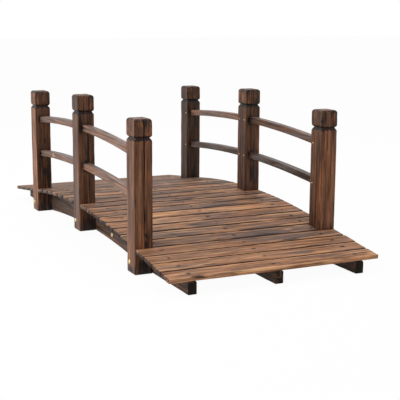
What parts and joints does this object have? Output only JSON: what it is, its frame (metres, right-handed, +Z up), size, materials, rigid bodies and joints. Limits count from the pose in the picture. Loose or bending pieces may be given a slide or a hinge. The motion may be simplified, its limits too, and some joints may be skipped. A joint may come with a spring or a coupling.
{
  "type": "arched timber garden footbridge",
  "caption": "Low arched footbridge of stained softwood: planks on curved stringers, square grooved posts and curved rails on both sides.",
  "frame": {"origin": "on the ground under the middle of the bridge", "axes": "+X along the walkway towards the front ramp, +Y to the right-hand railing, +Z up"},
  "size_m": [1.524, 0.66, 0.4685],
  "materials": {
    "deck_boards": "stained, worn",
    "post_timber": "stained, partly charred",
    "rail_timber": "stained, greyed",
    "stringer_timber": "dark stain"
  },
  "bodies": {
    "root": {"stringer_left": "stringer_timber", "stringer_centre": "stringer_timber", "stringer_right": "stringer_timber", "cross_tie_rear": "stringer_timber", "cross_tie_front": "stringer_timber", "post_left_rear": "post_timber", "post_left_middle": "post_timber", "post_left_front": "post_timber", "post_right_rear": "post_timber", "post_right_middle": "post_timber", "post_right_front": "post_timber", "rail_upper_left_rear": "rail_timber", "rail_upper_left_front": "rail_timber", "rail_upper_right_rear": "rail_timber", "rail_upper_right_front": "rail_timber", "rail_lower_left_rear": "rail_timber", "rail_lower_left_front": "rail_timber", "rail_lower_right_rear": "rail_timber", "rail_lower_right_front": "rail_timber", "deck_plank_01": "deck_boards", "deck_plank_02": "deck_boards", "deck_plank_03": "deck_boards", "deck_plank_04": "deck_boards", "deck_plank_05": "deck_boards", "deck_plank_06": "deck_boards", "deck_plank_07": "deck_boards", "deck_plank_08": "deck_boards", "deck_plank_09": "deck_boards", "deck_plank_10": "deck_boards", "deck_plank_11": "deck_boards", "deck_plank_12": "deck_boards", "deck_plank_13": "deck_boards", "deck_plank_14": "deck_boards", "deck_plank_15": "deck_boards", "deck_plank_16": "deck_boards", "deck_plank_17": "deck_boards", "deck_plank_18": "deck_boards", "deck_plank_19": "deck_boards", "deck_plank_20": "deck_boards", "deck_plank_21": "deck_boards", "deck_plank_22": "deck_boards", "deck_plank_23": "deck_boards", "deck_plank_24": "deck_boards", "deck_plank_25": "deck_boards"}
  },
  "joints": []
}
